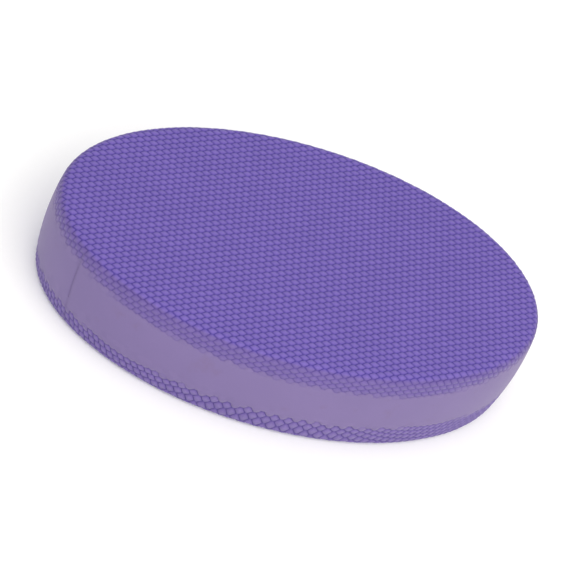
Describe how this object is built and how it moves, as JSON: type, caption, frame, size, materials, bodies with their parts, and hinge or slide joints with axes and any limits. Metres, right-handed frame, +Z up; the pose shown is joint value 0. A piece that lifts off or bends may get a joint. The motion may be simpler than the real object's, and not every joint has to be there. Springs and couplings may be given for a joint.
{
  "type": "balance pad",
  "caption": "Oval foam balance pad with embossed non-slip faces and a smooth side band, to stand or kneel on in balance training.",
  "frame": {"origin": "centre of the flat underside, on the surface the pad lies on", "axes": "+X along the pad's length, +Y along its width, +Z up through its thickness"},
  "size_m": [0.31, 0.19, 0.065],
  "materials": {
    "skin_foam": "matt embossed foam",
    "band_foam": "matt smooth foam skin",
    "core_foam": "matt open foam",
    "bond_film": "matt translucent hot-melt film"
  },
  "bodies": {
    "root": {"top_skin": "skin_foam", "bottom_skin": "skin_foam", "side_band": "band_foam", "upper_slab": "core_foam", "middle_slab": "core_foam", "lower_slab": "core_foam", "top_skin_film": "bond_film", "upper_core_film": "bond_film", "lower_core_film": "bond_film", "bottom_skin_film": "bond_film", "wall_film": "bond_film"}
  },
  "joints": []
}
